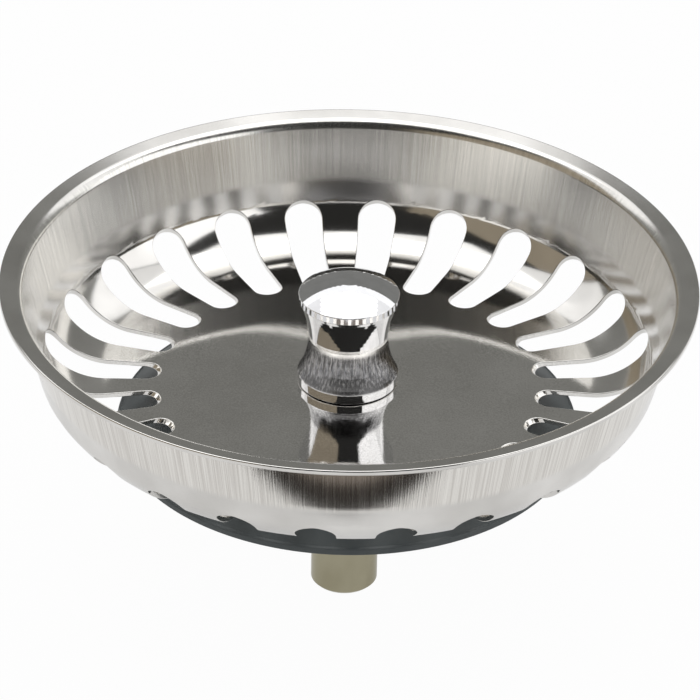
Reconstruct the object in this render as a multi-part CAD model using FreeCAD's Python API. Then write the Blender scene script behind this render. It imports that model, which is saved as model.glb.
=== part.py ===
"""Kitchen sink basket strainer: a slotted stainless basket clamped between a spool knob and a rubber seal.

Millimetres, +Z up. The origin is on the strainer's axis, in the plane where the seal's lip meets the
drain, so the locating pin hangs below Z = 0 and the basket rises above it.
"""
import FreeCAD, Part
import math
import os

from FreeCAD import Vector

# Basket sheet, listed up its inside face from the knob's seat, down the coned floor and up to the rim
sheet = 0.6
pad_radius = 6.6
pad_bend = 30.0
floor_fall = 1.12
bowl_bend = 7.9
bowl_height = 4.29
bowl_flare = 2.9
band_bend = 3.0
band_height = 2.6
band_draft = 0.7
bead_height = 0.6
bead_step = 0.1
bead_bend = 1.0
wall_height = 7.3
wall_draft = 1.75
flange_bend = 1.4
flange_rise = 0.45
flange_width = 2.6
rim_radius = 42.0

# Slots, punched square to a line that leans out from the axis, with a plain land under the bead
slot_count = 24
slot_first_angle = 84.63
slot_punch_angle = 35.0
slot_length = 13.98
slot_outer_width = 4.72
slot_inner_width = 3.66
slot_land = 1.71

# Rubber seal, a web that follows the floor and a skirt that flares down to a banded lip
seal_height = 6.18
seal_web = 2.6
seal_shoulder_radius = 22.0
seal_lip_radius = 28.1
seal_lip_band = 0.85
seal_lip_wall = 1.2

# Spool knob
knob_radius = 6.08
knob_edge_band = 0.84
knob_dome = 1.75
knob_waist_radius = 4.85
knob_waist_height = 5.05
knob_neck_height = 4.97
knob_flare_radius = 6.12
knob_ring_radius = 6.05
knob_ring_height = 1.23

# Stud and its thread, drawn as a plain cylinder at the thread's outer size
thread_radius = 2.5
stud_knob_engagement = 8.0
stud_pin_engagement = 7.0

# Washers and locating pin
clamp_washer_radius = 9.0
clamp_washer_thickness = 1.2
lock_washer_radius = 4.6
lock_washer_thickness = 1.0
lock_washer_split = 0.8
pin_radius = 4.1
pin_length = 23.6
pin_edge_break = 0.4

# Clearances
seat_gap = 0.1
thread_clearance = 0.05
thread_fit = 0.02
thread_end_gap = 0.3
stud_hole_clearance = 0.4
washer_clearance = 0.2
seal_hole_clearance = 0.1
cut_overrun = 2.0

# The most of a straight run that the bend at one end of it may take
bend_share = 0.88

# Heights of the stack, worked up and down from the seat plane
pad_underside = seal_height + seat_gap
pad_top = pad_underside + sheet
knob_base = pad_top + seat_gap
clamp_washer_top = seal_height - seal_web
lock_washer_top = clamp_washer_top - clamp_washer_thickness
pin_top = lock_washer_top - lock_washer_thickness
pin_end = pin_top - pin_length
stud_top = knob_base + stud_knob_engagement
stud_foot = pin_top - stud_pin_engagement

axis_point = Vector(0, 0, 0)
up = Vector(0, 0, 1)


def at(radius, height):
    """Point in the half plane that every round piece is turned from."""
    return Vector(radius, 0, height)


def turned(edges):
    """Solid of revolution about Z from a closed run of edges in the half plane."""
    face = Part.Face(Part.Wire(edges))
    return face.revolve(axis_point, up, 360)


def turned_outline(points):
    """Solid of revolution from the corners of a straight-sided outline."""
    return turned(Part.makePolygon(points + points[:1]).Edges)


def rod(radius, low, high):
    return Part.makeCylinder(radius, high - low, at(0, low))


def washer(outer, bore, low, high):
    return rod(outer, low, high).cut(rod(bore, low - cut_overrun, high + cut_overrun))


def bent_path(corners, bends):
    """Straight runs through the corners, joined by tangent arcs no larger than the runs allow."""
    edges = []
    start = corners[0]
    for before, corner, after, bend in zip(corners, corners[1:], corners[2:], bends):
        back = (before - corner).normalize()
        ahead = (after - corner).normalize()
        half = back.getAngle(ahead) / 2
        room = min((before - corner).Length, (after - corner).Length) * bend_share
        reach = min(bend / math.tan(half), room)
        entry = corner + back * reach
        leave = corner + ahead * reach
        middle = corner + (back + ahead).normalize() * reach * (1 - math.sin(half)) / math.cos(half)
        edges.append(Part.makeLine(start, entry))
        edges.append(Part.Arc(entry, middle, leave).toShape())
        start = leave
    edges.append(Part.makeLine(start, corners[-1]))
    return Part.Wire(edges)


# Corners of the basket's inside face, from the stud hole out to the rim
stud_hole_radius = thread_radius + stud_hole_clearance
flange_inner_radius = rim_radius - flange_width
wall_foot_radius = flange_inner_radius - wall_draft
bead_foot_radius = wall_foot_radius - bead_step
bowl_top_radius = bead_foot_radius - band_draft
bowl_foot_radius = bowl_top_radius - bowl_flare
bowl_foot = pad_top - floor_fall
bowl_top = bowl_foot + bowl_height
bead_foot = bowl_top + band_height
wall_foot = bead_foot + bead_height
flange_inner = wall_foot + wall_height
rim_top = flange_inner + flange_rise
floor_slope = floor_fall / (bowl_foot_radius - pad_radius)


def floor_drop(radius):
    """How far the coned floor has fallen below the knob's seat at a radius."""
    return (radius - pad_radius) * floor_slope


def basket_cup():
    """The drawn cup before its slots are punched."""
    corners = [
        at(stud_hole_radius, pad_top),
        at(pad_radius, pad_top),
        at(bowl_foot_radius, bowl_foot),
        at(bowl_top_radius, bowl_top),
        at(bead_foot_radius, bead_foot),
        at(wall_foot_radius, wall_foot),
        at(flange_inner_radius, flange_inner),
        at(rim_radius, rim_top),
    ]
    bends = [pad_bend, bowl_bend, band_bend, bead_bend, bead_bend, flange_bend]
    inside = bent_path(corners, bends)
    section = inside.makeOffset2D(sheet, fill=True, openResult=True)
    if section.BoundBox.ZMin > inside.BoundBox.ZMin - sheet / 2:
        section = inside.makeOffset2D(-sheet, fill=True, openResult=True)
    return section.Faces[0].revolve(axis_point, up, 360)


def slot_punch():
    """One tapered, round-ended punch over +X, leaning out by the punch angle."""
    lean = math.radians(slot_punch_angle)
    along = Vector(math.cos(lean), 0, math.sin(lean))
    drive = Vector(math.sin(lean), 0, -math.cos(lean))
    across = Vector(0, 1, 0)
    outer_end = at(bead_foot_radius, bead_foot).dot(along) - slot_land
    inner_end = outer_end - slot_length
    outer_half = slot_outer_width / 2
    inner_half = slot_inner_width / 2
    outer_centre = outer_end - outer_half
    inner_centre = inner_end + inner_half
    tangent_sine = (inner_half - outer_half) / (outer_centre - inner_centre)
    tangent_cosine = math.sqrt(1 - tangent_sine ** 2)

    inner_radius = (inner_end - pad_top * math.sin(lean)) / math.cos(lean)
    first_depth = at(inner_radius, pad_top).dot(drive) - cut_overrun
    last_depth = at(bowl_foot_radius, bowl_foot).dot(drive) + sheet + cut_overrun

    def spot(distance, offset):
        return along * distance + across * offset + drive * first_depth

    outer_left = spot(outer_centre + outer_half * tangent_sine, outer_half * tangent_cosine)
    outer_right = spot(outer_centre + outer_half * tangent_sine, -outer_half * tangent_cosine)
    inner_left = spot(inner_centre + inner_half * tangent_sine, inner_half * tangent_cosine)
    inner_right = spot(inner_centre + inner_half * tangent_sine, -inner_half * tangent_cosine)
    outline = Part.Wire([
        Part.makeLine(inner_left, outer_left),
        Part.Arc(outer_left, spot(outer_end, 0), outer_right).toShape(),
        Part.makeLine(outer_right, inner_right),
        Part.Arc(inner_right, spot(inner_end, 0), inner_left).toShape(),
    ])
    return Part.Face(outline).extrude(drive * (last_depth - first_depth))


def basket():
    """Stainless cup with its ring of slots."""
    punch = slot_punch()
    punches = []
    for index in range(slot_count):
        angle = slot_first_angle + index * 360 / slot_count
        turned_punch = punch.copy()
        turned_punch.rotate(axis_point, up, angle)
        punches.append(turned_punch)
    return basket_cup().cut(punches)


def knob():
    """Turned spool: foot ring, flare, waist, edge band and domed top, with a blind thread."""
    flare = knob_base + knob_ring_height
    waist = flare + knob_waist_height
    edge_low = waist + knob_neck_height
    edge_high = edge_low + knob_edge_band
    dome_top = edge_high + knob_dome
    dome_sphere = (knob_radius ** 2 + knob_dome ** 2) / (2 * knob_dome)
    dome_mid_radius = knob_radius / 2
    dome_mid = dome_top - dome_sphere + math.sqrt(dome_sphere ** 2 - dome_mid_radius ** 2)
    spool = turned([
        Part.makeLine(at(0, knob_base), at(knob_ring_radius, knob_base)),
        Part.makeLine(at(knob_ring_radius, knob_base), at(knob_flare_radius, flare)),
        Part.Arc(at(knob_flare_radius, flare), at(knob_waist_radius, waist), at(knob_radius, edge_low)).toShape(),
        Part.makeLine(at(knob_radius, edge_low), at(knob_radius, edge_high)),
        Part.Arc(at(knob_radius, edge_high), at(dome_mid_radius, dome_mid), at(0, dome_top)).toShape(),
        Part.makeLine(at(0, dome_top), at(0, knob_base)),
    ])
    blind_end = stud_top + thread_end_gap
    return spool.cut(rod(thread_radius + thread_clearance, knob_base - cut_overrun, blind_end))


def stud():
    return rod(thread_radius, stud_foot, stud_top)


def seal():
    """Rubber web and flared skirt, hollow underneath, with a plain band round the lip."""
    web_underside = clamp_washer_top
    bore = thread_radius + seal_hole_clearance
    return turned_outline([
        at(bore, seal_height),
        at(pad_radius, seal_height),
        at(seal_shoulder_radius, seal_height - floor_drop(seal_shoulder_radius)),
        at(seal_lip_radius, seal_lip_band),
        at(seal_lip_radius, 0),
        at(seal_lip_radius - seal_lip_wall, 0),
        at(seal_shoulder_radius - seal_lip_wall, web_underside),
        at(bore, web_underside),
    ])


def clamp_washer():
    return washer(clamp_washer_radius, thread_radius + washer_clearance, lock_washer_top, clamp_washer_top)


def lock_washer():
    """Spring washer with its split towards +X."""
    ring = washer(lock_washer_radius, thread_radius + washer_clearance, pin_top, lock_washer_top)
    corner = Vector(0, -lock_washer_split / 2, pin_top - cut_overrun)
    depth = lock_washer_thickness + 2 * cut_overrun
    split = Part.makeBox(lock_washer_radius + cut_overrun, lock_washer_split, depth, corner)
    return ring.cut(split)


def locating_pin():
    """Plain turned pin with a broken lower edge and a blind thread from the top."""
    body = turned_outline([
        at(0, pin_top),
        at(pin_radius, pin_top),
        at(pin_radius, pin_end + pin_edge_break),
        at(pin_radius - pin_edge_break, pin_end),
        at(0, pin_end),
    ])
    return body.cut(rod(thread_radius + thread_fit, stud_foot, pin_top + cut_overrun))


pieces = {
    "basket": basket,
    "knob": knob,
    "stud": stud,
    "seal": seal,
    "clamp_washer": clamp_washer,
    "lock_washer": lock_washer,
    "locating_pin": locating_pin,
}

os.makedirs("parts", exist_ok=True)
for node, make in pieces.items():
    shape = make()
    shape.exportStep(f"parts/{node}.step")
    print(node, "solids", len(shape.Solids), "valid", shape.isValid(), "volume", round(shape.Volume, 1))
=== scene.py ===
import math

import bpy
import numpy as np
from mathutils import Matrix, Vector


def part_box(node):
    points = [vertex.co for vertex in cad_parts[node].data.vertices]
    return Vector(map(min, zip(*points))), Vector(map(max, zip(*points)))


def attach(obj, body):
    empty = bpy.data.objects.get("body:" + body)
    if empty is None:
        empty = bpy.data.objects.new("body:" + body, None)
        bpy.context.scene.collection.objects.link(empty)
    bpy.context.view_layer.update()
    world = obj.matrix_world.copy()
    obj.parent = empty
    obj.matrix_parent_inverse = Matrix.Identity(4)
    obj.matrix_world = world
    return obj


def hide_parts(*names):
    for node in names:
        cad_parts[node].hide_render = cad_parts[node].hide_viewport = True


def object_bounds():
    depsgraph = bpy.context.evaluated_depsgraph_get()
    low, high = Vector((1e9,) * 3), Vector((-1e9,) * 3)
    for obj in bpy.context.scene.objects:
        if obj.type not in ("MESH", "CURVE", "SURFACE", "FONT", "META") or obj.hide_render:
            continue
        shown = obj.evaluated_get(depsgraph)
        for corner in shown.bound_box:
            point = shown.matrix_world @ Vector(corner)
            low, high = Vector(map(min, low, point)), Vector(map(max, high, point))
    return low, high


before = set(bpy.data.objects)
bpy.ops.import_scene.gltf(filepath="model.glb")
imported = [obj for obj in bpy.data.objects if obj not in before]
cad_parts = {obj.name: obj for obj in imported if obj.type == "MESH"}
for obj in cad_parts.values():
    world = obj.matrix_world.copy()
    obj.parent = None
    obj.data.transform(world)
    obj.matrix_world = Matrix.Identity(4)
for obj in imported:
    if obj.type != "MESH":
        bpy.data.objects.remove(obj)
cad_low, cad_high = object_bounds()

scene = bpy.context.scene
scene.view_settings.view_transform = "Standard"


# Locating pin: a plain brass rod, turned and nickel plated to a pale champagne.
# It screws on to the stud's lower end and drops into the socket of the drain.
def turned_line(corners, arc_turn=9):
    """Points and directions along a turned outline whose corners are (radius, height, bend)."""
    run = []
    count = len(corners)
    for index, (radius, height, bend) in enumerate(corners):
        corner = np.array([radius, height])
        before = corner - np.array(corners[index - 1][:2])
        after = np.array(corners[(index + 1) % count][:2]) - corner
        if index == 0:
            before = after
        if index == count - 1:
            after = before
        before = before / np.hypot(*before)
        after = after / np.hypot(*after)
        turn = math.atan2(before[0] * after[1] - before[1] * after[0], before @ after)
        reach = bend * math.tan(abs(turn) / 2)
        steps = max(1, math.ceil(math.degrees(abs(turn)) / arc_turn)) if bend else 0
        start = corner - before * reach
        side = math.copysign(1, turn)
        centre = start + np.array([-before[1], before[0]]) * bend * side
        for step in range(steps + 1):
            angle = turn * step / steps if steps else 0
            cosine, sine = math.cos(angle), math.sin(angle)
            heading = np.array([before[0] * cosine - before[1] * sine, before[0] * sine + before[1] * cosine])
            spot = centre + np.array([heading[1], -heading[0]]) * bend * side
            run.append((*spot, *heading))
    return np.array(run)


def meshed(name, points, faces):
    """New object at the origin, with a mesh of these points and faces."""
    mesh = bpy.data.meshes.new(name)
    mesh.from_pydata(np.asarray(points).tolist(), [], faces)
    piece = bpy.data.objects.new(name, mesh)
    scene.collection.objects.link(piece)
    return piece


def turned_piece(name, line, steps=192, closed=False):
    """Mesh turned about Z from an outline, shaded with the outline's own normals."""
    spins = np.arange(steps) * 2 * math.pi / steps
    radius, height, out_r, out_z = line[:, 0], line[:, 1], line[:, 3], -line[:, 2]
    wide = np.cos(spins)[None, :], np.sin(spins)[None, :]
    points = np.stack([radius[:, None] * wide[0], radius[:, None] * wide[1],
                       np.repeat(height[:, None], steps, 1)], -1)
    normals = np.stack([out_r[:, None] * wide[0], out_r[:, None] * wide[1],
                        np.repeat(out_z[:, None], steps, 1)], -1)
    rows = len(line)
    faces = []
    for row in range(rows if closed else rows - 1):
        low, high = row * steps, (row + 1) % rows * steps
        for spin in range(steps):
            onward = (spin + 1) % steps
            faces.append((low + spin, low + onward, high + onward, high + spin))
    if not closed:
        faces.append(tuple(range(steps))[::-1])
        faces.append(tuple((rows - 1) * steps + spin for spin in range(steps)))
    piece = meshed(name, points.reshape(-1, 3), faces)
    piece.data.shade_smooth()
    piece.data.normals_split_custom_set_from_vertices(normals.reshape(-1, 3).tolist())
    return piece


class Shade:
    """A shader socket that works in plain arithmetic; each operation adds its Math node."""

    def __init__(self, tree, socket=None):
        self.tree = tree
        self.socket = socket

    def node(self, kind, settings=None, sockets=None, out=0):
        node = self.tree.nodes.new(kind)
        for name, value in (settings or {}).items():
            setattr(node, name, value)
        for name, value in (sockets or {}).items():
            if isinstance(value, Shade):
                self.tree.links.new(value.socket, node.inputs[name])
            else:
                node.inputs[name].default_value = value
        return Shade(self.tree, node.outputs[out])

    def sum(self, operation, *values):
        return self.node("ShaderNodeMath", {"operation": operation}, dict(enumerate(values)))

    def __add__(self, other):
        return self.sum("ADD", self, other)

    __radd__ = __add__

    def __sub__(self, other):
        return self.sum("SUBTRACT", self, other)

    def __rsub__(self, other):
        return self.sum("SUBTRACT", other, self)

    def __mul__(self, other):
        return self.sum("MULTIPLY", self, other)

    __rmul__ = __mul__

    def __truediv__(self, other):
        return self.sum("DIVIDE", self, other)

    def __rtruediv__(self, other):
        return self.sum("DIVIDE", other, self)

    def fade(self, low, high):
        """0 below low, 1 above high, and a smooth step between them."""
        return self.node("ShaderNodeMapRange", {"interpolation_type": "SMOOTHSTEP"},
                         {"Value": self, "From Min": low, "From Max": high})

    def drives(self, socket):
        self.tree.links.new(self.socket, socket)


def finish_named(name, **constants):
    """New material, its shader and a Shade to build its nodes from."""
    material = bpy.data.materials.new(name)
    material.use_nodes = True
    shader = material.node_tree.nodes["Principled BSDF"]
    for socket, value in constants.items():
        shader.inputs[socket.replace("_", " ")].default_value = value
    return material, shader, Shade(material.node_tree)


def grain(shade, place, scale, detail=2.0):
    """Noise from 0 to 1 at a place; the scale is in grains a metre."""
    return shade.node("ShaderNodeTexNoise", {"noise_dimensions": "3D"},
                      {"Vector": place, "Scale": scale, "Detail": detail})


def blend_colours(shade, share, first, second):
    """Colour between two others, each plain or varying, by a share that varies."""
    mixed = shade.node("ShaderNodeMix", {"data_type": "RGBA"}, {"Factor": share}, out=2)
    node = mixed.socket.node
    for index, colour in ((6, first), (7, second)):
        if isinstance(colour, Shade):
            shade.tree.links.new(colour.socket, node.inputs[index])
        else:
            node.inputs[index].default_value = (*colour, 1.0)
    return mixed


def stretched(shade, factors):
    """Object coordinates, squeezed or drawn out along each axis."""
    place = shade.node("ShaderNodeTexCoord", out=3)
    return shade.node("ShaderNodeVectorMath", {"operation": "MULTIPLY"}, {0: place, 1: factors})


def relieved(shader, height, depth, strength):
    """Fine relief on a finish, from a height that varies over it."""
    relief = height.node("ShaderNodeBump", None, {"Strength": strength, "Distance": depth, "Height": height})
    relief.drives(shader.inputs["Normal"])


pin_low, pin_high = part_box("locating_pin")
pin_radius = pin_high.x
pin_bevel = 0.0004
pin_edge = 0.00015
pole_radius = 0.0001
pin_line = turned_line([
    (pole_radius, pin_low.z, 0),
    (pin_radius - pin_bevel, pin_low.z, pin_edge),
    (pin_radius, pin_low.z + pin_bevel, pin_edge),
    (pin_radius, pin_high.z, pin_edge),
    (pole_radius, pin_high.z, 0),
])
pin = turned_piece("locating_pin_turned", pin_line)

pin_dull = (0.41, 0.375, 0.26)
pin_bright = (0.48, 0.445, 0.32)
pin_roughness = 0.14
turning_roughness = 0.14
turning_depth = 0.00001
pin_finish, pin_shader, pin_shade = finish_named("nickel over brass", Metallic=1.0)
turning = grain(pin_shade, stretched(pin_shade, (0.2, 0.2, 9.0)), scale=900)
stain = grain(pin_shade, stretched(pin_shade, (1, 1, 0.6)), scale=160, detail=3.0)
pin_colour = blend_colours(pin_shade, stain.fade(0.35, 0.65), pin_dull, pin_bright)
pin_colour.drives(pin_shader.inputs["Base Color"])
(turning * turning_roughness + pin_roughness).drives(pin_shader.inputs["Roughness"])
relieved(pin_shader, turning, turning_depth, strength=0.25)
pin.data.materials.append(pin_finish)
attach(pin, "stem")
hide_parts("locating_pin")


# Stud: a zinc-plated steel screw with a rolled thread, fixed in the pin at its lower end.
# The knob screws down on its upper end, and that clamps the basket to the seal.
thread_pitch = 0.0008
thread_depth = 0.00042
thread_flank = 1.4
thread_steps = 48
thread_rows_each_turn = 8
stud_low, stud_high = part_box("stud")
stud_radius = stud_high.x
stud_rows = round((stud_high.z - stud_low.z) / thread_pitch * thread_rows_each_turn)
stud_heights = np.linspace(stud_low.z, stud_high.z, stud_rows + 1)
stud_spins = np.arange(thread_steps) * 2 * math.pi / thread_steps
thread_phase = stud_heights[:, None] / thread_pitch - stud_spins[None, :] / (2 * math.pi)
thread_rise = np.abs(thread_phase % 1 - 0.5) * 2
thread_radii = stud_radius - thread_depth * np.clip((thread_rise - 0.5) * thread_flank + 0.5, 0, 1)
stud_points = np.stack([thread_radii * np.cos(stud_spins), thread_radii * np.sin(stud_spins),
                        np.repeat(stud_heights[:, None], thread_steps, 1)], -1).reshape(-1, 3)
stud_faces = [(row * thread_steps + spin, row * thread_steps + (spin + 1) % thread_steps,
               (row + 1) * thread_steps + (spin + 1) % thread_steps, (row + 1) * thread_steps + spin)
              for row in range(stud_rows) for spin in range(thread_steps)]
stud_faces.append(tuple(range(thread_steps))[::-1])
stud_faces.append(tuple(stud_rows * thread_steps + spin for spin in range(thread_steps)))
stud = meshed("stud_threaded", stud_points, stud_faces)

zinc_dull = (0.50, 0.51, 0.53)
zinc_bright = (0.62, 0.63, 0.63)
zinc_roughness = 0.22
spangle_roughness = 0.2
zinc_finish, zinc_shader, zinc_shade = finish_named("bright zinc plate", Metallic=1.0)
spangle = grain(zinc_shade, stretched(zinc_shade, (1, 1, 1)), scale=1400, detail=3.0)
zinc_colour = blend_colours(zinc_shade, spangle.fade(0.3, 0.7), zinc_dull, zinc_bright)
zinc_colour.drives(zinc_shader.inputs["Base Color"])
(spangle * spangle_roughness + zinc_roughness).drives(zinc_shader.inputs["Roughness"])
stud.data.materials.append(zinc_finish)
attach(stud, "stem")
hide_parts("stud")


# Lock washer and clamp washer: stamped from zinc-plated steel, flat under load.
# They pass the pin's pull to the seal; the solids are already their shape, so they only get the zinc.
for washer in ("lock_washer", "clamp_washer"):
    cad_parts[washer].data.materials.clear()
    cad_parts[washer].data.materials.append(zinc_finish)


# Seal: one moulding of dark blue-grey rubber, a flat web with a skirt that flares to a banded lip.
# The knob and the washers clamp its web to the basket's floor.
seal_low, seal_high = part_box("seal")
seal_top = seal_high.z
seal_lip_radius = seal_high.x
seal_bore = 0.0026
seal_web = 0.0026
seal_pad = 0.0066
seal_shoulder = 0.0220
seal_fall = 0.00072
seal_crown = 0.0140
seal_crown_fall = 0.00045
seal_band = 0.00085
seal_wall = 0.0012
seal_step_width = 0.0004
seal_step_rise = 0.0001
seal_bore_edge = 0.0001
seal_lip_edge = 0.0002
seal_root_bend = 0.0008
seal_shoulder_bend = 0.0012
seal_line = turned_line([
    (seal_bore, seal_top - seal_web, seal_bore_edge),
    (seal_shoulder - seal_wall, seal_top - seal_web, seal_root_bend),
    (seal_lip_radius - seal_wall, seal_low.z, seal_lip_edge),
    (seal_lip_radius, seal_low.z, seal_lip_edge),
    (seal_lip_radius, seal_low.z + seal_band, seal_lip_edge),
    (seal_lip_radius - seal_step_width, seal_low.z + seal_band + seal_step_rise, seal_step_rise),
    (seal_shoulder, seal_top - seal_fall, seal_shoulder_bend),
    (seal_crown, seal_top - seal_crown_fall, 0),
    (seal_pad, seal_top, 0),
    (seal_bore, seal_top, seal_bore_edge),
])
seal = turned_piece("seal_moulded", seal_line, steps=256, closed=True)

rubber_dark = (0.074, 0.086, 0.089)
rubber_bloomed = (0.094, 0.106, 0.108)
rubber_roughness = 0.40
bloom_roughness = 0.16
rubber_skin_depth = 0.00002
rubber_finish, rubber_shader, rubber_shade = finish_named("blue-grey rubber", Specular_IOR_Level=0.42)
rubber_place = stretched(rubber_shade, (1, 1, 1))
bloom = grain(rubber_shade, rubber_place, scale=220, detail=4.0)
rubber_skin = grain(rubber_shade, rubber_place, scale=5200)
rubber_colour = blend_colours(rubber_shade, bloom.fade(0.3, 0.7), rubber_dark, rubber_bloomed)
rubber_colour.drives(rubber_shader.inputs["Base Color"])
(bloom * bloom_roughness + rubber_roughness).drives(rubber_shader.inputs["Roughness"])
relieved(rubber_shader, rubber_skin, rubber_skin_depth, strength=0.3)
seal.data.materials.append(rubber_finish)
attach(seal, "stem")
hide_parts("seal")


# Basket: drawn from one sheet of stainless steel, with a ring of round-ended slots punched through the bowl.
# The floor and the bowl are polished, the wall is brushed along the axis, and the rim turns out to a flange.
sheet = 0.0006
slots = 24
first_slot = math.radians(84.63)
slot_outer_radius = 0.03699
slot_inner_radius = 0.02290
slot_outer_width = 0.00472
slot_inner_width = 0.00366
slot_edge = 0.00009
punch_lean = math.radians(35)
rim_edge = 0.00018
# Inside face from the stud's hole out to the rim, as (radius, height, bend) at each corner
cup_corners = [
    (0.0029, 0.00688, 0),
    (0.0066, 0.00688, 0.030),
    (0.0140, 0.00643, 0.200),
    (0.03395, 0.00576, 0.0079),
    (0.03685, 0.01005, 0.0030),
    (0.03765, 0.01325, 0.0010),
    (0.0394, 0.02055, 0.0014),
    (0.0420, 0.0210, 0),
]
cup_line = turned_line(cup_corners, arc_turn=0.25)
cup_steps = np.hypot(np.diff(cup_line[:, 0]), np.diff(cup_line[:, 1]))
cup_along = np.concatenate([[0], np.cumsum(cup_steps)])
rim_along = cup_along[-1]


def on_cup(along):
    """Radius, height and direction of the cup's inside face, by the distance along it."""
    return np.stack([np.interp(along, cup_along, cup_line[:, column]) for column in range(4)], -1)


def cup_patch(along, spin, depth, lean_out, lean_along=0.0, lean_round=0.0):
    """Points of the sheet at a depth from its inside face, with their normals in (out, round, up) parts."""
    along, spin, depth, lean_out, lean_along, lean_round = np.broadcast_arrays(
        along, spin, depth, lean_out, lean_along, lean_round)
    here = on_cup(along)
    out = np.stack([here[..., 3], -here[..., 2]], -1)
    radius = here[..., 0] + out[..., 0] * depth
    height = here[..., 1] + out[..., 1] * depth
    points = np.stack([radius * np.cos(spin), radius * np.sin(spin), height], -1)
    normals = np.stack([out[..., 0] * lean_out + here[..., 2] * lean_along, lean_round,
                        out[..., 1] * lean_out + here[..., 3] * lean_along], -1)
    normals = normals / np.linalg.norm(normals, axis=-1, keepdims=True)
    return points, normals, along, depth / sheet


def slot_loop(grown, side_steps=30, cap_steps=20):
    """Slot outline, grown by a margin: distance along, offset round, and the outline's own normal."""
    inner_half, outer_half = slot_inner_width / 2, slot_outer_width / 2
    inner_centre = slot_start + inner_half
    outer_centre = slot_end - outer_half
    taper = math.asin((outer_half - inner_half) / (outer_centre - inner_centre))
    lead = math.pi / 2 + taper
    outer_cap = np.linspace(lead, -lead, cap_steps + 1)
    inner_cap = np.linspace(-lead, lead - 2 * math.pi, cap_steps + 1)
    outer_half, inner_half = outer_half + grown, inner_half + grown
    outer = np.stack([outer_centre + outer_half * np.cos(outer_cap), outer_half * np.sin(outer_cap)], -1)
    inner = np.stack([inner_centre + inner_half * np.cos(inner_cap), inner_half * np.sin(inner_cap)], -1)
    share = np.linspace(0, 1, side_steps + 1)[1:-1, None]
    left = outer[-1] + (inner[0] - outer[-1]) * share
    right = inner[-1] + (outer[0] - inner[-1]) * share
    turns = np.concatenate([outer_cap, np.full(len(left), -lead), inner_cap, np.full(len(right), lead)])
    return np.concatenate([outer, left, inner, right]), np.stack([np.cos(turns), np.sin(turns)], -1)


def sector_loop(side_steps=30, cap_steps=20):
    """Edge of one slot's share of the cup, point for point with the slot's outline."""
    outline, _ = slot_loop(0.0, side_steps, cap_steps)
    corner_steps = cap_steps // 4
    outer_turn, inner_turn = outline[0][0], outline[cap_steps + side_steps][0]
    climb = np.linspace(outer_turn, sector_end, corner_steps + 1)
    dive = np.linspace(inner_turn, sector_start, corner_steps + 1)
    across = np.linspace(half_sector, -half_sector, cap_steps - 2 * corner_steps + 1)[1:-1]
    sides = np.linspace(outer_turn, inner_turn, side_steps + 1)[1:-1]
    along = np.concatenate([climb, np.full(len(across), sector_end), climb[::-1], sides,
                            dive, np.full(len(across), sector_start), dive[::-1], sides[::-1]])
    spin = np.concatenate([np.full(len(climb), half_sector), across, np.full(len(climb), -half_sector),
                           np.full(len(sides), -half_sector), np.full(len(dive), -half_sector), -across,
                           np.full(len(dive), half_sector), np.full(len(sides), half_sector)])
    return np.stack([along, spin], -1)


slot_start = np.interp(slot_inner_radius, cup_line[:, 0], cup_along)
slot_end = np.interp(slot_outer_radius, cup_line[:, 0], cup_along)
inner_land = 0.0012
outer_land = 0.0005
sector_start = slot_start - inner_land
sector_end = slot_end + outer_land
half_sector = math.pi / slots
ring = sector_loop()


def slot_ring(share, grown, depth, lean_out, lean_in):
    """One loop round the slot: share 0 is the sector's edge, share 1 the slot's outline."""
    outline, facing = slot_loop(grown)
    here = on_cup(outline[:, 0])
    skew = np.tan(punch_lean - np.arctan2(here[:, 3], here[:, 2]))
    pierced = outline[:, 0] + depth * skew
    spin = outline[:, 1] / on_cup(pierced)[:, 0]
    along = ring[:, 0] + (pierced - ring[:, 0]) * share
    spin = ring[:, 1] + (spin - ring[:, 1]) * share
    return cup_patch(along, first_slot + spin, depth, lean_out + facing[:, 0] * skew * lean_in,
                     -facing[:, 0] * lean_in, -facing[:, 1] * lean_in)


edge_turns = np.radians([15, 30, 45, 60, 75, 90])
loop_shares = (0, 0.3, 0.6, 0.85, 1)
loops = [slot_ring(share, slot_edge, 0.0, -1.0, 0.0) for share in loop_shares]
for turn in edge_turns:
    loops.append(slot_ring(1, slot_edge * (1 - math.sin(turn)), slot_edge * (1 - math.cos(turn)),
                           -math.cos(turn), math.sin(turn)))
for turn in edge_turns[::-1]:
    loops.append(slot_ring(1, slot_edge * (1 - math.sin(turn)), sheet - slot_edge * (1 - math.cos(turn)),
                           math.cos(turn), math.sin(turn)))
loops += [slot_ring(share, slot_edge, sheet, 1.0, 0.0) for share in loop_shares[::-1]]
closed_loops = [[np.concatenate([part, part[:1]]) for part in loop] for loop in loops]
slot_patch = [np.stack(parts) for parts in zip(*closed_loops)]


def strip(rows, columns=11):
    """Patch across the whole sector from rows of (along, depth, lean out, lean along)."""
    along, depth, lean_out, lean_along = (np.array(column)[:, None] for column in zip(*rows))
    across = np.linspace(half_sector, -half_sector, columns)[None, :]
    return cup_patch(along, first_slot + across, depth, lean_out, lean_along)


def folded(stations, end, sense):
    """Rows up the inside face, round the sheet's rounded edge and back down the outside face."""
    rows = [(along, 0.0, -1.0, 0.0) for along in stations]
    turns = np.radians([0, 18, 36, 54, 72, 90])
    for turn in turns:
        rows.append((end - sense * rim_edge * (1 - math.sin(turn)), rim_edge * (1 - math.cos(turn)),
                     -math.cos(turn), sense * math.sin(turn)))
    for turn in turns[::-1]:
        rows.append((end - sense * rim_edge * (1 - math.sin(turn)), sheet - rim_edge * (1 - math.cos(turn)),
                     math.cos(turn), sense * math.sin(turn)))
    return rows + [(along, sheet, 1.0, 0.0) for along in stations[::-1]]


floor_reach = 0.03
upright = cup_along > floor_reach


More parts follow.
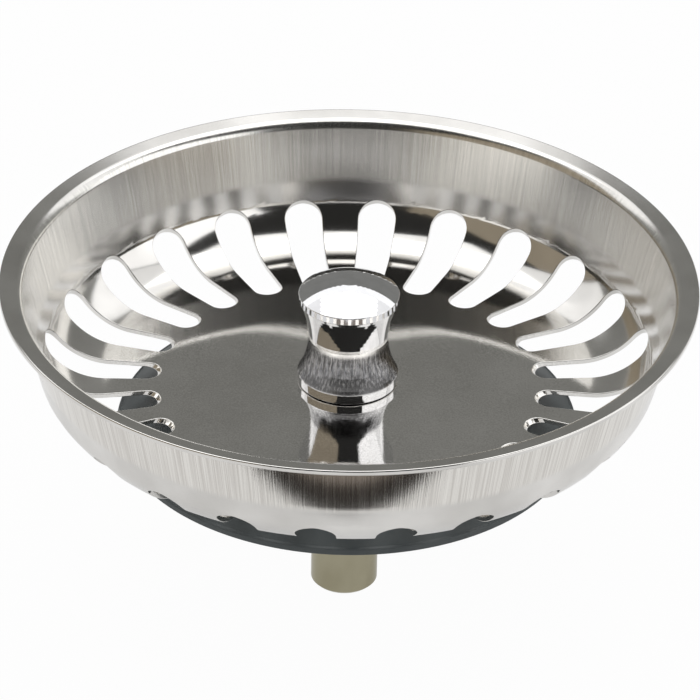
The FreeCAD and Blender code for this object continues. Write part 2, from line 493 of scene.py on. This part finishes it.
def along_at(height):
    """Distance along the inside face at a height of the bowl or the wall."""
    return float(np.interp(height, cup_line[upright, 1], cup_along[upright]))


row_spacing = 0.0001
hole_land = 0.001
floor_rows = 16
bend_rows = turned_line(cup_corners[3:], arc_turn=6)
wall_stations = [along for along in sorted({round(along_at(height), 6) for height in bend_rows[:, 1]})
                 if sector_end + row_spacing < along < rim_along - 2 * rim_edge]
wall_patch = strip(folded([sector_end, *wall_stations], rim_along, 1))
floor_patch = strip(folded(list(np.linspace(sector_start, hole_land, floor_rows)), 0.0, -1))

sector_points, sector_faces, sector_marks = [], [], []
for points, normals, along, depth in (slot_patch, wall_patch, floor_patch):
    rows, columns = points.shape[:2]
    start = sum(len(done) for done in sector_points)
    sector_points.append(points.reshape(-1, 3))
    marks = normals.reshape(-1, 3), along.reshape(-1, 1), depth.reshape(-1, 1)
    sector_marks.append(np.concatenate(marks, 1))
    sector_faces += [(start + row * columns + column, start + (row + 1) * columns + column,
                      start + (row + 1) * columns + column + 1, start + row * columns + column + 1)
                     for row in range(rows - 1) for column in range(columns - 1)]
sector_points = np.concatenate(sector_points)
sector_marks = np.concatenate(sector_marks)


def facing_out(face):
    """The face's corners in the order that makes it face the way its normals lean."""
    corners = sector_points[list(face)]
    spin = math.atan2(corners[0][1], corners[0][0])
    lean_out, lean_round, lean_up = sector_marks[list(face), :3].mean(0)
    wanted = (lean_out * math.cos(spin) - lean_round * math.sin(spin),
              lean_out * math.sin(spin) + lean_round * math.cos(spin), lean_up)
    return face if np.cross(corners[2] - corners[0], corners[3] - corners[1]) @ wanted > 0 else face[::-1]


sector_faces = [facing_out(face) for face in sector_faces]
sector_mesh = bpy.data.meshes.new("basket_sector")
sector_mesh.from_pydata(sector_points.tolist(), [], sector_faces)
facing_mark = sector_mesh.attributes.new("sheet_facing", "FLOAT_VECTOR", "POINT")
facing_mark.data.foreach_set("vector", sector_marks[:, :3].astype(np.float32).ravel())
along_mark = sector_mesh.attributes.new("sheet_along", "FLOAT", "POINT")
along_mark.data.foreach_set("value", sector_marks[:, 3].astype(np.float32))
depth_mark = sector_mesh.attributes.new("sheet_depth", "FLOAT", "POINT")
depth_mark.data.foreach_set("value", sector_marks[:, 4].astype(np.float32))
basket = bpy.data.objects.new("basket_drawn", sector_mesh)
scene.collection.objects.link(basket)

steel_finish, steel_shader, steel_shade = finish_named("stainless sheet", Metallic=1.0)

ring_tree = bpy.data.node_groups.new("Ring of slots", "GeometryNodeTree")
ring_sockets = {}
for label, kind, flow in (("Sector", "NodeSocketGeometry", "INPUT"), ("Slots", "NodeSocketInt", "INPUT"),
                          ("Weld", "NodeSocketFloat", "INPUT"), ("Finish", "NodeSocketMaterial", "INPUT"),
                          ("Basket", "NodeSocketGeometry", "OUTPUT")):
    ring_sockets[label] = ring_tree.interface.new_socket(label, in_out=flow, socket_type=kind).identifier
ring_nodes = Shade(ring_tree)
ring_in = ring_tree.nodes.new("NodeGroupInput")
ring_inputs = {label: Shade(ring_tree, ring_in.outputs[label])
               for label in ("Sector", "Slots", "Weld", "Finish")}
places = ring_nodes.node("GeometryNodePoints", None, {"Count": ring_inputs["Slots"]})
turn_each = ring_nodes.node("GeometryNodeInputIndex") * math.tau / ring_inputs["Slots"]
heading = ring_nodes.node("ShaderNodeCombineXYZ", None, {"Z": turn_each})
copies = ring_nodes.node("GeometryNodeInstanceOnPoints", None,
                         {"Points": places, "Instance": ring_inputs["Sector"], "Rotation": heading})
whole = ring_nodes.node("GeometryNodeRealizeInstances", None, {"Geometry": copies})
welded = ring_nodes.node("GeometryNodeMergeByDistance", None,
                         {"Geometry": whole, "Distance": ring_inputs["Weld"]})
dressed = ring_nodes.node("GeometryNodeSetMaterial", None,
                          {"Geometry": welded, "Material": ring_inputs["Finish"]})
ring_out = ring_tree.nodes.new("NodeGroupOutput")
dressed.drives(ring_out.inputs[0])

weld_gap = 0.000002
ring_step = basket.modifiers.new("Ring of slots", "NODES")
ring_step.node_group = ring_tree
ring_step[ring_sockets["Slots"]] = slots
ring_step[ring_sockets["Weld"]] = weld_gap
ring_step[ring_sockets["Finish"]] = steel_finish
basket_mesh = bpy.data.meshes.new_from_object(basket.evaluated_get(bpy.context.evaluated_depsgraph_get()))
basket.modifiers.remove(ring_step)
basket_mesh.name = "basket_drawn"
basket.data = basket_mesh
bpy.data.meshes.remove(sector_mesh)

basket_count = len(basket_mesh.vertices)
basket_points = np.zeros(basket_count * 3, np.float32)
basket_mesh.vertices.foreach_get("co", basket_points)
basket_points = basket_points.reshape(-1, 3)
facing = np.zeros(basket_count * 3, np.float32)
basket_mesh.attributes["sheet_facing"].data.foreach_get("vector", facing)
facing = facing.reshape(-1, 3)
spin = np.arctan2(basket_points[:, 1], basket_points[:, 0])
basket_normals = np.stack([facing[:, 0] * np.cos(spin) - facing[:, 1] * np.sin(spin),
                           facing[:, 0] * np.sin(spin) + facing[:, 1] * np.cos(spin), facing[:, 2]], -1)
basket_mesh.shade_smooth()
basket_mesh.normals_split_custom_set_from_vertices(basket_normals.tolist())

floor_dull, floor_bright = (0.66, 0.645, 0.62), (0.87, 0.855, 0.83)
# The brushed wall's inside face is painted lighter (painted light) and its outside face darker (painted
# shade); within each pair, dull and bright are the brush streaks.
inside_painted_light_dull, inside_painted_light_bright = (0.79, 0.775, 0.74), (0.95, 0.935, 0.90)
outside_painted_shade_dull, outside_painted_shade_bright = (0.66, 0.635, 0.60), (0.88, 0.86, 0.82)
polished_roughness = 0.05
bowl_roughness = 0.07
flange_roughness = 0.08
steel_relief = 0.000004
brush_radius = 0.038
brush_draw = 0.008
brushed_low, brushed_high = 0.0126, 0.0202
brushed_start, brushed_end = along_at(brushed_low), along_at(brushed_high)
brushed_fade, flange_fade = 0.0012, 0.0008
floor_end, bowl_start = 0.0245, 0.0285

steel_along = steel_shade.node("ShaderNodeAttribute", {"attribute_name": "sheet_along"}, out=2)
steel_depth = steel_shade.node("ShaderNodeAttribute", {"attribute_name": "sheet_depth"}, out=2)
steel_place = stretched(steel_shade, (1, 1, 1))
brush_round = steel_shade.node("ShaderNodeVectorMath", {"operation": "NORMALIZE"},
                               {0: stretched(steel_shade, (1, 1, 0))})
brush_place = steel_shade.node("ShaderNodeVectorMath", {"operation": "MULTIPLY_ADD"},
                               {0: brush_round, 1: (brush_radius, brush_radius, brush_radius),
                                2: stretched(steel_shade, (0, 0, brush_draw))})
brush_fine = grain(steel_shade, brush_place, scale=9000)
brush_broad = grain(steel_shade, brush_place, scale=2100)
brush = brush_fine * 0.7 + brush_broad * 0.3
polish = grain(steel_shade, steel_place, scale=5200, detail=3.0)
cloud = grain(steel_shade, steel_place, scale=90, detail=3.0)
above_bowl = steel_along.fade(brushed_start, brushed_start + brushed_fade)
on_flange = steel_along.fade(brushed_end, brushed_end + flange_fade)
on_wall = above_bowl * (1 - on_flange)
on_floor = 1 - steel_along.fade(floor_end, bowl_start)
on_bowl = (1 - on_floor) * (1 - above_bowl)

speckle = cloud * 0.6 + 0.2 + on_floor * (polish * 0.6 - cloud * 0.2 - 0.2)
brush_share = brush.fade(0.36, 0.64)
plain_steel = blend_colours(steel_shade, speckle.fade(0.34, 0.66), floor_dull, floor_bright)
# Brushed wall colour: painted light on the inside face, painted shade on the outside face, each streaked by
# the brushing.
inside_brushed_painted_light = blend_colours(steel_shade, brush_share, inside_painted_light_dull, inside_painted_light_bright)
outside_brushed_painted_shade = blend_colours(steel_shade, brush_share, outside_painted_shade_dull, outside_painted_shade_bright)
brushed_steel_painted_light_and_shade = blend_colours(steel_shade, steel_depth, inside_brushed_painted_light, outside_brushed_painted_shade)
steel_colour = blend_colours(steel_shade, on_wall, plain_steel, brushed_steel_painted_light_and_shade)
steel_colour.drives(steel_shader.inputs["Base Color"])
floor_roughness = polish * 0.04 - 0.02
wall_roughness = brush * 0.06 + 0.15 - steel_depth * 0.13
steel_roughness = (polished_roughness + on_floor * floor_roughness + on_wall * wall_roughness
                   + on_bowl * bowl_roughness + on_flange * flange_roughness)
steel_roughness.drives(steel_shader.inputs["Roughness"])
wall_relief = brush * (steel_depth * 6.0 + 1.6)
relieved(steel_shader, on_wall * wall_relief + on_floor * polish * 1.1 + on_flange * polish * 0.5,
         steel_relief, strength=0.5)
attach(basket, "basket")
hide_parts("basket")


# Knob: a spool turned from brass and chrome plated, with a foot ring, a hollowed waist and a domed cap.
# It screws down on the stud and presses on the basket's floor.
knob_low, knob_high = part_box("knob")
knob_base = knob_low.z
knob_top = knob_high.z
knob_flare_radius = knob_high.x
knob_foot_radius = 0.00605
knob_waist_radius = 0.00485
knob_cap_radius = 0.00608
knob_flare_height = knob_base + 0.00123
knob_waist_height = knob_flare_height + 0.00505
knob_cap_low = knob_waist_height + 0.00497
knob_cap_high = knob_cap_low + 0.00084


def arc_spots(first, middle, last, steps):
    """Points along the arc through three points of the half plane."""
    (ax, ay), (bx, by), (cx, cy) = first, middle, last
    twice = 2 * (ax * (by - cy) + bx * (cy - ay) + cx * (ay - by))
    squares = ax * ax + ay * ay, bx * bx + by * by, cx * cx + cy * cy
    centre = np.array([(squares[0] * (by - cy) + squares[1] * (cy - ay) + squares[2] * (ay - by)) / twice,
                       (squares[0] * (cx - bx) + squares[1] * (ax - cx) + squares[2] * (bx - ax)) / twice])
    start, end = (np.array(point) - centre for point in (first, last))
    sweep = math.atan2(start[0] * end[1] - start[1] * end[0], start @ end)
    angles = math.atan2(start[1], start[0]) + np.linspace(0, sweep, steps + 1)
    return centre + np.hypot(*start) * np.stack([np.cos(angles), np.sin(angles)], -1)


knob_edge = 0.00012
waist_blend = 0.002
dome_blend = 0.004
thread_clearance = 0.00005
thread_end_gap = 0.0003
waist = arc_spots((knob_flare_radius, knob_flare_height), (knob_waist_radius, knob_waist_height),
                  (knob_cap_radius, knob_cap_low), steps=40)
dome_mid = knob_cap_high + (knob_top - knob_cap_high) * 0.75
dome_pole = 0.00002
dome = arc_spots((knob_cap_radius, knob_cap_high), (knob_cap_radius / 2, dome_mid),
                 (dome_pole, knob_top), steps=24)
knob_bore = stud_radius + thread_clearance
knob_bore_end = stud_high.z + thread_end_gap
knob_corners = [(pole_radius, knob_bore_end, 0), (knob_bore, knob_bore_end, knob_edge),
                (knob_bore, knob_base, knob_edge), (knob_foot_radius, knob_base, knob_edge),
                (knob_flare_radius, knob_flare_height, knob_edge)]
knob_corners += [(*spot, waist_blend) for spot in waist[2:-2:2]]
knob_corners += [(knob_cap_radius, knob_cap_low, knob_edge), (knob_cap_radius, knob_cap_high, knob_edge)]
knob_corners += [(*spot, dome_blend) for spot in dome[2:-1:2]] + [(pole_radius, knob_top, 0)]
knob_line = turned_line(knob_corners)
knob = turned_piece("knob_turned", knob_line, steps=256)

chrome_dull, chrome_bright = (0.80, 0.80, 0.815), (0.85, 0.85, 0.865)
# The lower waist above the flare is painted dark and streaked: a painted reflection on the chrome. Its
# rougher finish and relief follow the same streaks.
flare_reflection_dark, flare_reflection_light = (0.14, 0.14, 0.145), (0.40, 0.40, 0.415)
chrome_roughness = 0.025
haze_roughness = 0.05
flare_streak_relief = 0.00001
chrome_finish, chrome_shader, chrome_shade = finish_named("chrome plate", Metallic=1.0)
chrome_place = stretched(chrome_shade, (1, 1, 1))
chrome_height = chrome_shade.node("ShaderNodeSeparateXYZ", None, {"Vector": chrome_place}, out=2)
above_flare = chrome_height - knob_flare_height
haze = grain(chrome_shade, chrome_place, scale=700, detail=3.0)
flare_streaks = grain(chrome_shade, stretched(chrome_shade, (1, 1, 0.16)), scale=4600, detail=3.0)
on_flare = above_flare.fade(-0.0001, 0.0002) * (1 - above_flare.fade(0.0042, 0.0050))
# Darker towards the foot, where the waist meets the basket's floor: painted shade.
foot_shade = 1 - above_flare.fade(0.0004, 0.0024)
chrome_plate = blend_colours(chrome_shade, haze.fade(0.3, 0.7), chrome_dull, chrome_bright)
flare_reflection_share = (flare_streaks - foot_shade * 0.14).fade(0.32, 0.68)
# Painted dark reflection on the lower waist, between a near-black and a dark grey.
flare_painted_reflection = blend_colours(chrome_shade, flare_reflection_share, flare_reflection_dark, flare_reflection_light)
knob_colour = blend_colours(chrome_shade, on_flare, chrome_plate, flare_painted_reflection)
knob_colour.drives(chrome_shader.inputs["Base Color"])
flare_streak_roughness = flare_streaks * 0.18 + 0.06
knob_roughness = haze * haze_roughness + chrome_roughness + on_flare * flare_streak_roughness
knob_roughness.drives(chrome_shader.inputs["Roughness"])
relieved(chrome_shader, on_flare * flare_streaks, flare_streak_relief, strength=0.4)
knob.data.materials.append(chrome_finish)
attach(knob, "knob")
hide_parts("knob")


# Studio: a pale floor just under the pin, white surroundings, and an overhead softbox.
# Dark and grey cards stand round the set out of shot, as they do when polished metal is photographed.
def seen_paths(shade):
    """Flags for what the camera sees straight, in a mirror and through something clear."""
    return [shade.node("ShaderNodeLightPath", out=name)
            for name in ("Is Camera Ray", "Is Glossy Ray", "Is Transmission Ray")]


def white_to_eyes(material, lit_in_shot, lit_in_metal):
    """Floor that looks white in shot and in reflections, and keeps a share of its light and shadow."""
    tree = material.node_tree
    shade = Shade(tree)
    straight, mirrored, through = seen_paths(shade)
    seen = (straight + through) * (1 - lit_in_shot) + mirrored * (1 - lit_in_metal)
    glow = shade.node("ShaderNodeEmission", None, {"Color": (1, 1, 1, 1), "Strength": 1.0})
    body = Shade(tree, tree.nodes["Principled BSDF"].outputs[0])
    mixed = shade.node("ShaderNodeMixShader", None, {0: seen, 1: body, 2: glow})
    mixed.drives(tree.nodes["Material Output"].inputs[0])


def flat_piece(name, half, near, far):
    """One flat face between two level edges, each given as (distance back, height)."""
    return meshed(name, [(-half, *near), (half, *near), (half, *far), (-half, *far)], [(0, 1, 2, 3)])


floor_half = 3.0
floor_gap = 0.0002
floor_height = cad_low.z - floor_gap
floor = flat_piece("studio_floor", floor_half, (-floor_half, floor_height), (floor_half, floor_height))
floor_finish, _, _ = finish_named("white paper", Base_Color=(0.9, 0.9, 0.9, 1.0), Roughness=0.9,
                                  Specular_IOR_Level=0.1)
white_to_eyes(floor_finish, lit_in_shot=0.03, lit_in_metal=0.5)
floor.data.materials.append(floor_finish)


def mirrored_only(card, colour):
    """Gives a card an even glow that shows in reflections, and neither in shot nor as light or shadow."""
    face = bpy.data.materials.new(card.name)
    face.use_nodes = True
    glow = Shade(face.node_tree).node("ShaderNodeEmission", None, {"Color": (*colour, 1.0), "Strength": 1.0})
    glow.drives(face.node_tree.nodes["Material Output"].inputs[0])
    card.data.materials.append(face)
    card.visible_camera = False
    card.visible_diffuse = False
    card.visible_shadow = False
    card.visible_transmission = False


def curved_card(name, edges, colour, distance, steps=24):
    """Card bent round the set; its edges are (height, turn from, turn to) in degrees from the camera."""
    heights, firsts, lasts = zip(*edges)
    up = np.linspace(heights[0], heights[-1], steps + 1)
    first, last = np.interp(up, heights, firsts)[:, None], np.interp(up, heights, lasts)[:, None]
    across = np.radians(first + (last - first) * np.linspace(0, 1, steps + 1)[None, :])
    up = np.radians(up)[:, None]
    points = distance * np.stack([np.cos(up) * np.sin(across), -np.cos(up) * np.cos(across),
                                  np.sin(up) + 0 * across], -1)
    wide = steps + 1
    corners = [row * wide + column for row in range(steps) for column in range(steps)]
    faces = [(corner, corner + 1, corner + wide + 1, corner + wide) for corner in corners]
    mirrored_only(meshed(name, points.reshape(-1, 3), faces), colour)


curved_card("dark_card", [(-1, -105, 105), (84, -105, 105)], (0.026, 0.026, 0.025), distance=0.80)
curved_card("left_card", [(-1, -23, -104), (34, -23, -104), (50, -66, -104)], (0.30, 0.26, 0.20),
            distance=0.72)
curved_card("right_card", [(-1, 35, 104), (34, 35, 104), (50, 84, 104)], (1.3, 1.3, 1.3), distance=0.72)

box_height = 0.62
box_back = 0.42
box_front = -0.09
box_half = 0.32
box_glow = 1.2
back_distance = 0.43
back_rise = 0.40
back_half = 1.6
for name, foot, head, colour in (("back_card", floor_height, back_rise, (0.21, 0.21, 0.20)),
                                 ("back_card_top", back_rise, box_height, (box_glow, box_glow, box_glow))):
    mirrored_only(flat_piece(name, back_half, (back_distance, foot), (back_distance, head)), colour)

front_half = 0.036
front_gap = 0.0006
front_height = floor_height + front_gap
for name, near, far, colour in (("front_strip", -0.0570, -0.0616, (0.023, 0.020, 0.0176)),
                                ("front_strip_outer", -0.0616, -0.0720, (0.253, 0.22, 0.1936))):
    mirrored_only(flat_piece(name, front_half, (far, front_height), (near, front_height)), colour)

softbox = bpy.data.lights.new("softbox", "AREA")
softbox.shape = "RECTANGLE"
softbox.size = 2 * box_half
softbox.size_y = box_back - box_front
softbox.energy = box_glow * math.pi * softbox.size * softbox.size_y
softbox_lamp = bpy.data.objects.new("softbox", softbox)
softbox_lamp.location = (0, (box_back + box_front) / 2, box_height)
scene.collection.objects.link(softbox_lamp)

world = bpy.data.worlds.new("white room")
scene.world = world
world.use_nodes = True
straight, mirrored, through = seen_paths(Shade(world.node_tree))
seen = straight + mirrored + through
room_light = 0.5
backdrop = world.node_tree.nodes["Background"]
backdrop.inputs["Color"].default_value = (1, 1, 1, 1)
(seen * (1 - room_light) + room_light).drives(backdrop.inputs["Strength"])

camera = bpy.data.cameras.new("camera")
camera.sensor_width = 36.0
camera.lens = 258.92
camera_distance = 0.6100
camera_tilt = math.radians(31.904)
camera_roll = math.radians(1.087)
target = (0.00023, 0.0, 0.011016)
eye = bpy.data.objects.new("camera", camera)
eye.matrix_world = (
    Matrix.Translation((target[0], -camera_distance * math.cos(camera_tilt),
                        target[2] + camera_distance * math.sin(camera_tilt)))
    @ Matrix.Rotation(math.pi / 2 - camera_tilt, 4, "X") @ Matrix.Rotation(camera_roll, 4, "Z"))
scene.collection.objects.link(eye)
scene.camera = eye
